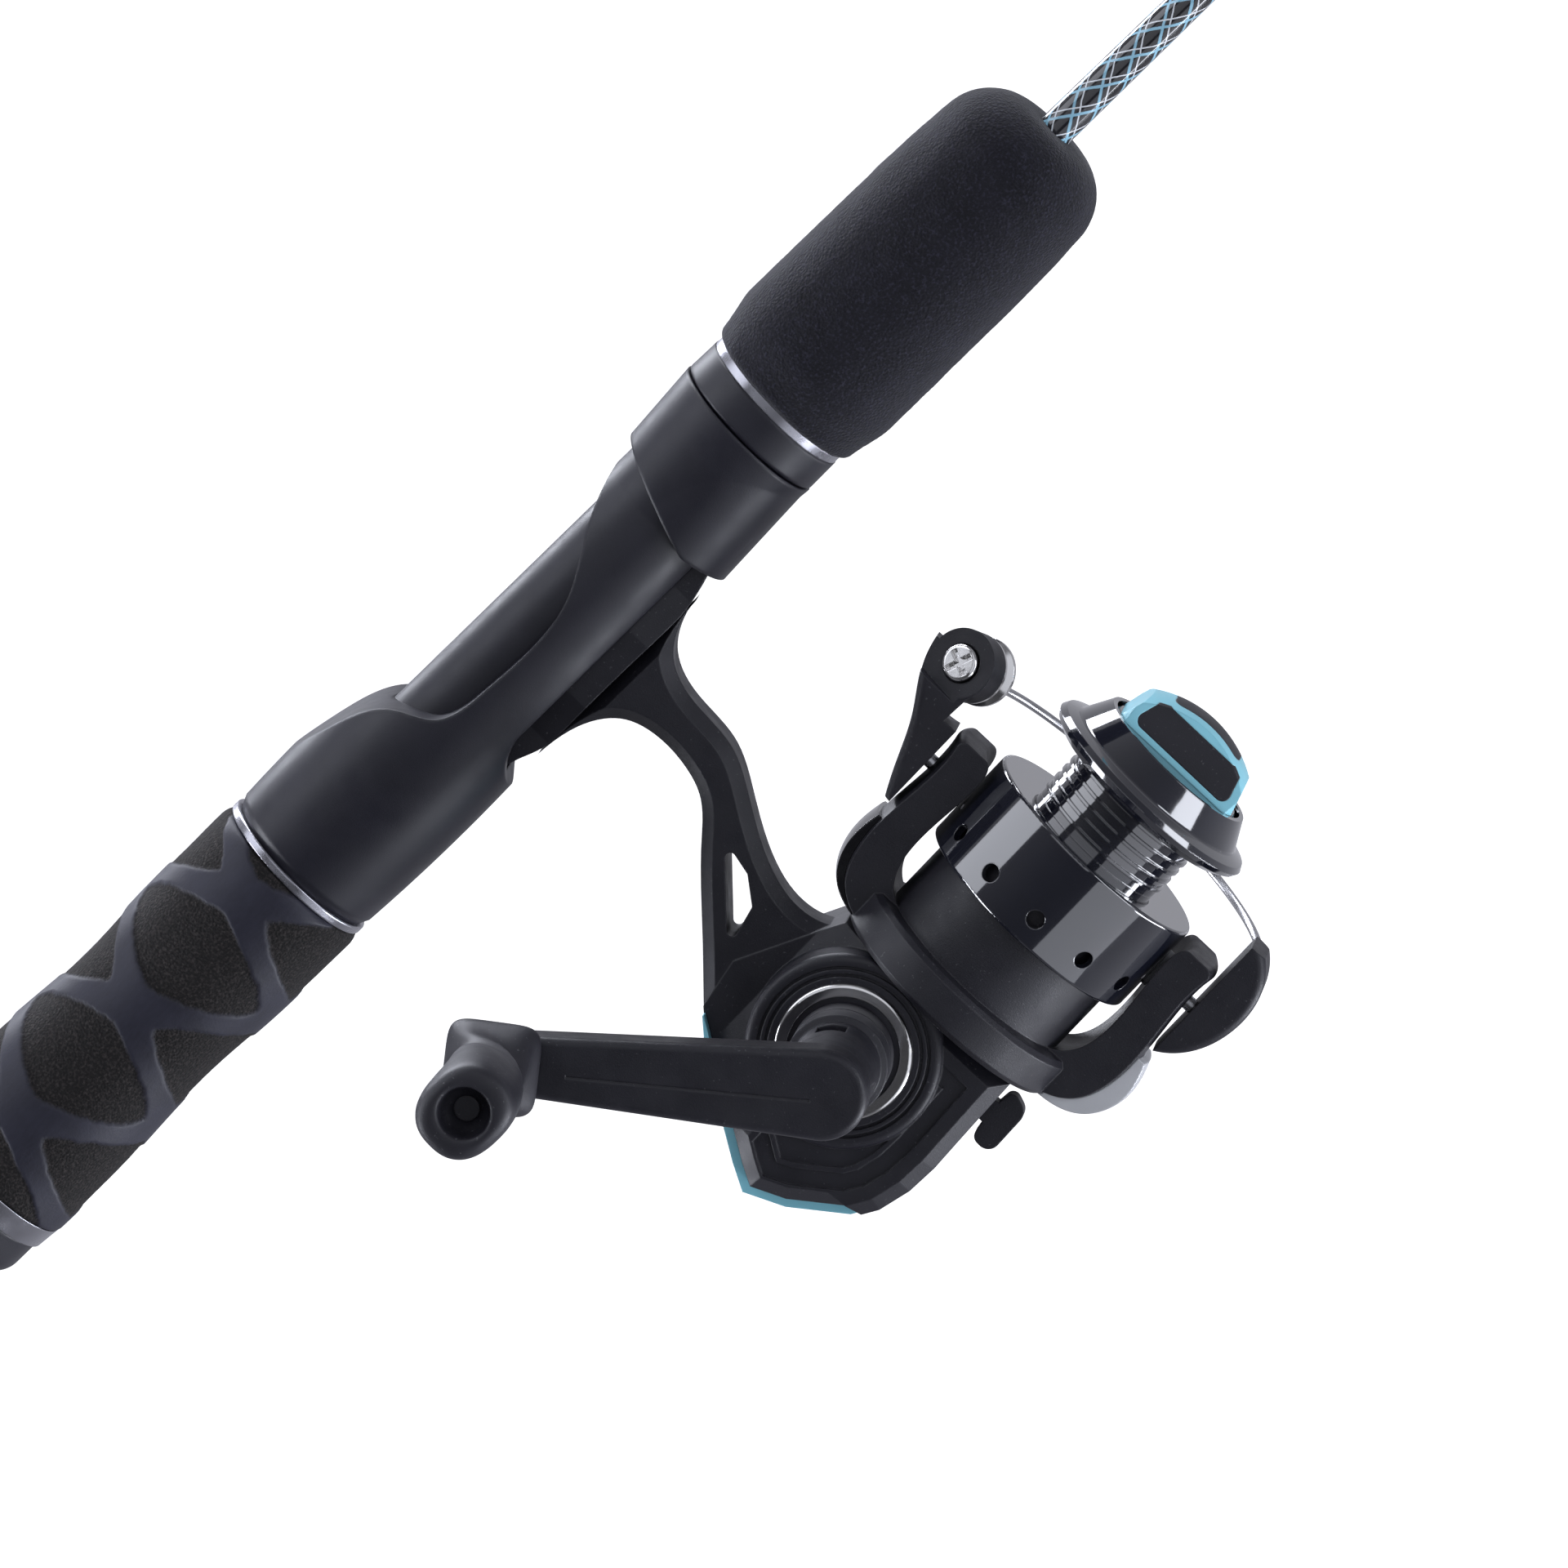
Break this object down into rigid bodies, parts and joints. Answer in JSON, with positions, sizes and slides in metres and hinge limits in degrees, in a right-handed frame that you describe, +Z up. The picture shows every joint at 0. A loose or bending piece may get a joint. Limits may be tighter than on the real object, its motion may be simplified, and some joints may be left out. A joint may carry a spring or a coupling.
{
  "type": "ice fishing rod",
  "caption": "Short rod with foam grips, trimmed reel seat and line guides, carrying a small fixed-spool reel with a wire bail, a crank handle and a front drag knob.",
  "frame": {"origin": "centre of the butt cap's end face, on the rod axis", "axes": "+X along the rod towards the tip, +Z up away from the hanging reel, crank on the -Y side"},
  "size_m": [0.6597, 0.1206, 0.1274],
  "materials": {
    "eva_black": "closed-cell foam, matt",
    "eva_patterned": "foam with a printed skin of crossing bands",
    "trim_metal": "polished ring",
    "seat_plastic": "soft-touch black",
    "blank_gloss": "clear-coated black with light crossing threads",
    "guide_steel": "black-coated steel",
    "guide_ceramic": "polished ceramic",
    "wrap_epoxy": "thread under epoxy",
    "reel_plastic": "fine-textured black",
    "reel_gloss": "polished black",
    "spool_metal": "dark anodised",
    "accent": "light blue",
    "chrome": "bright",
    "silver_paint": "silver paint",
    "steel": "machined",
    "brass": "machined",
    "zinc": "die-cast zinc",
    "drag_felt": "oiled felt and steel washers",
    "clip_grey": "grey",
    "knob_rubber": "soft rubber"
  },
  "bodies": {
    "rod": {"blank": "blank_gloss", "guide_frames": "guide_steel", "guide_rings": "guide_ceramic", "guide_wraps": "wrap_epoxy", "tip_top": "guide_steel", "tip_top_ring": "guide_ceramic", "rear_grip": "eva_patterned", "rear_trim_ring": "trim_metal", "butt_ring": "trim_metal", "butt_cap": "seat_plastic", "reel_seat": "seat_plastic", "seat_tube": "seat_plastic", "reel_body": "reel_plastic", "side_cover": "reel_plastic", "rear_guard": "accent", "guard_screw": "steel", "cover_screws": "steel", "crank_bezel": "chrome", "crank_bearings": "steel", "pinion_bearing": "steel", "one_way_clutch": "steel", "oscillation_axle": "steel"},
    "hood": {"sliding_hood": "seat_plastic"},
    "foregrip": {"lock_nut": "seat_plastic", "foregrip_trim_ring": "trim_metal", "foregrip_arbor": "seat_plastic", "foregrip": "eva_black"},
    "crank": {"crank_arm": "reel_plastic", "crank_boot": "reel_plastic", "crank_shaft": "steel", "drive_gear": "zinc", "oscillation_drive_gear": "zinc", "crank_cap_screw": "reel_plastic", "knob_pin": "reel_plastic"},
    "handle_knob": {"handle_knob": "knob_rubber"},
    "oscillation_gear": {"oscillation_gear": "zinc"},
    "rotor": {"rotor": "reel_plastic", "arm_cover_upper": "reel_gloss", "arm_cover_lower": "silver_paint", "rotor_nut": "steel", "pinion": "brass", "pivot_screws": "steel"},
    "bail": {"bail_arm": "reel_plastic", "bail_lever": "reel_plastic", "bail_wire": "steel", "roller_screw": "chrome"},
    "line_roller": {"line_roller": "chrome"},
    "main_shaft": {"main_shaft": "steel", "oscillation_slider": "zinc"},
    "spool": {"spool": "spool_metal", "spool_lip": "spool_metal", "line_clip": "clip_grey", "drag_washers": "drag_felt"},
    "drag_plate": {"drag_pressure_plate": "steel"},
    "drag_knob": {"drag_knob": "reel_gloss", "drag_knob_frame": "accent", "drag_knob_inserts": "reel_plastic"},
    "anti_reverse_lever": {"anti_reverse_lever": "reel_plastic"}
  },
  "joints": [
    {"name": "foregrip_twist", "type": "hinge", "parent": "hood", "child": "foregrip", "pos_m": [0.19, 0, 0], "axis": [1, 0, 0], "range_deg": [0, 1080]},
    {"name": "hood_travel", "type": "slide", "parent": "rod", "child": "hood", "axis": [1, 0, 0], "range_m": [0, 0.0091]},
    {"name": "crank_turn", "type": "hinge", "parent": "rod", "child": "crank", "pos_m": [0.11775, 0, -0.0747], "axis": [0, 1, 0], "continuous": true},
    {"name": "handle_knob_spin", "type": "hinge", "parent": "crank", "child": "handle_knob", "pos_m": [0.08653, -0.066, -0.03838], "axis": [0, 1, 0], "continuous": true},
    {"name": "rotor_spin", "type": "hinge", "parent": "rod", "child": "rotor", "pos_m": [0.13799, 0, -0.08043], "axis": [0.9993, 0, 0.0384], "continuous": true},
    {"name": "oscillation_gear_spin", "type": "hinge", "parent": "rod", "child": "oscillation_gear", "pos_m": [0.10812, 0.0056, -0.08344], "axis": [0, 1, 0], "continuous": true},
    {"name": "spool_travel", "type": "slide", "parent": "rod", "child": "main_shaft", "axis": [0.9993, 0, 0.0384], "range_m": [-0.006, 0]},
    {"name": "drag_slip", "type": "hinge", "parent": "main_shaft", "child": "spool", "pos_m": [0.16297, 0, -0.07947], "axis": [0.9993, 0, 0.0384], "continuous": true},
    {"name": "drag_plate_travel", "type": "slide", "parent": "main_shaft", "child": "drag_plate", "axis": [0.9993, 0, 0.0384], "range_m": [0, 0.00161]},
    {"name": "drag_knob_turn", "type": "hinge", "parent": "drag_plate", "child": "drag_knob", "pos_m": [0.18395, 0, -0.07867], "axis": [0.9993, 0, 0.0384], "range_deg": [0, 720]},
    {"name": "bail_flip", "type": "hinge", "parent": "rotor", "child": "bail", "pos_m": [0.15607, 0, -0.07974], "axis": [0.0384, 0, -0.9993], "range_deg": [0, 110]},
    {"name": "line_roller_spin", "type": "hinge", "parent": "bail", "child": "line_roller", "pos_m": [0.1694, 0.00152, -0.04902], "axis": [0.0174, 0.891, -0.4537], "continuous": true},
    {"name": "anti_reverse_switch", "type": "hinge", "parent": "rod", "child": "anti_reverse_lever", "pos_m": [0.12445, 0, -0.09286], "axis": [0.9993, 0, 0.0384], "range_deg": [0, 18]}
  ],
  "couplings": [
    {"joint": "hood_travel", "follows": "foregrip_twist", "m_per_rad": 0.00047746},
    {"joint": "rotor_spin", "follows": "crank_turn", "ratio": 5.2},
    {"joint": "oscillation_gear_spin", "follows": "crank_turn", "ratio": -0.66667},
    {"joint": "drag_plate_travel", "follows": "drag_knob_turn", "m_per_rad": 0.00012732}
  ]
}
